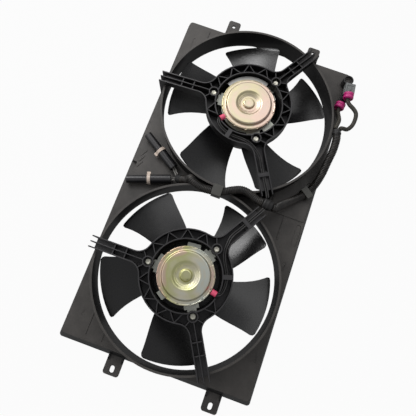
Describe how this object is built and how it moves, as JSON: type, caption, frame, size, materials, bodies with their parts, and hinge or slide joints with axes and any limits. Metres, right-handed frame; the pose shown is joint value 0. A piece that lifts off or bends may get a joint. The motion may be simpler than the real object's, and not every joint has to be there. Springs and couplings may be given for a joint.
{
  "type": "twin radiator cooling fan",
  "caption": "Twin electric radiator cooling fan: black moulded shroud, ribbed motor carriers, five-blade fans on zinc-plated motors, and a clipped wiring harness.",
  "frame": {"origin": "middle of the face that lies on the radiator, at the skirt's rim", "axes": "+X to the right seen from the motors, +Y along the long side from the lower to the upper fan, +Z away from the radiator along the fan axes"},
  "size_m": [0.394, 0.762, 0.0906],
  "materials": {
    "shroud_plastic": "glass-filled black plastic, dull, with light scuffs",
    "carrier_plastic": "black moulded plastic, satin on the rib edges",
    "fan_plastic": "black moulded plastic, satin",
    "nut_steel": "plain steel",
    "shaft_steel": "ground steel",
    "zinc_yellow": "pressed steel, yellow passivated zinc with a faint rainbow",
    "bracket_zinc": "pressed steel, bright zinc",
    "ferrite": "sintered ferrite",
    "lamination_steel": "stamped steel laminations",
    "copper_wire": "enamelled copper wire",
    "commutator_copper": "turned copper",
    "card_plastic": "moulded phenolic",
    "brush_carbon": "pressed carbon",
    "bearing_bronze": "sintered bronze",
    "screw_zinc": "zinc-plated steel",
    "wire_black": "insulated wire, soft sheen",
    "wire_grey": "insulated wire, pale grey",
    "pink_plastic": "moulded pink plastic",
    "conduit_plastic": "corrugated black tube",
    "harness_rubber": "moulded rubber",
    "harness_tape": "wound black tape",
    "clip_plastic": "dark grey moulded plastic",
    "cover_plastic": "smooth black tube",
    "tie_plastic": "natural white nylon",
    "plug_plastic": "black moulded plastic",
    "grey_plastic": "grey moulded plastic",
    "plug_lead_sleeve": "dark woven sleeve over wires"
  },
  "bodies": {
    "root": {"shroud": "shroud_plastic", "upper_motor_carrier": "carrier_plastic", "lower_motor_carrier": "carrier_plastic", "upper_motor_can": "zinc_yellow", "lower_motor_can": "zinc_yellow", "upper_motor_cap": "zinc_yellow", "lower_motor_cap": "zinc_yellow", "upper_motor_bracket": "bracket_zinc", "lower_motor_bracket": "bracket_zinc", "upper_motor_magnets": "ferrite", "lower_motor_magnets": "ferrite", "upper_brush_card": "card_plastic", "lower_brush_card": "card_plastic", "upper_brushes": "brush_carbon", "lower_brushes": "brush_carbon", "upper_motor_bearings": "bearing_bronze", "lower_motor_bearings": "bearing_bronze", "upper_motor_screws": "screw_zinc", "lower_motor_screws": "screw_zinc", "upper_motor_leads": "wire_black", "lower_motor_leads": "wire_black", "upper_lead_sleeve": "pink_plastic", "lower_lead_sleeve": "pink_plastic", "left_conduit": "conduit_plastic", "right_conduit": "conduit_plastic", "harness_boot": "harness_rubber", "junction_tape": "harness_tape", "conduit_end_tape": "harness_tape", "middle_conduit_clip": "clip_plastic", "right_conduit_clip": "clip_plastic", "upper_splice_cover": "cover_plastic", "lower_splice_cover": "cover_plastic", "splice_wires": "wire_grey", "cable_ties": "tie_plastic", "black_plug": "plug_plastic", "grey_plug": "grey_plastic", "plug_seals": "pink_plastic", "plug_clip": "plug_plastic", "straight_plug_lead": "plug_lead_sleeve", "looped_plug_lead": "plug_lead_sleeve"},
    "upper_rotor": {"upper_fan": "fan_plastic", "upper_fan_nut": "nut_steel", "upper_motor_shaft": "shaft_steel", "upper_armature_core": "lamination_steel", "upper_armature_winding": "copper_wire", "upper_commutator": "commutator_copper"},
    "lower_rotor": {"lower_fan": "fan_plastic", "lower_fan_nut": "nut_steel", "lower_motor_shaft": "shaft_steel", "lower_armature_core": "lamination_steel", "lower_armature_winding": "copper_wire", "lower_commutator": "commutator_copper"}
  },
  "joints": [
    {"name": "upper_fan_spin", "type": "hinge", "parent": "root", "child": "upper_rotor", "pos_m": [0, 0.1675, 0.03], "axis": [0, 0, 1], "continuous": true},
    {"name": "lower_fan_spin", "type": "hinge", "parent": "root", "child": "lower_rotor", "pos_m": [0, -0.1675, 0.03], "axis": [0, 0, 1], "continuous": true}
  ]
}
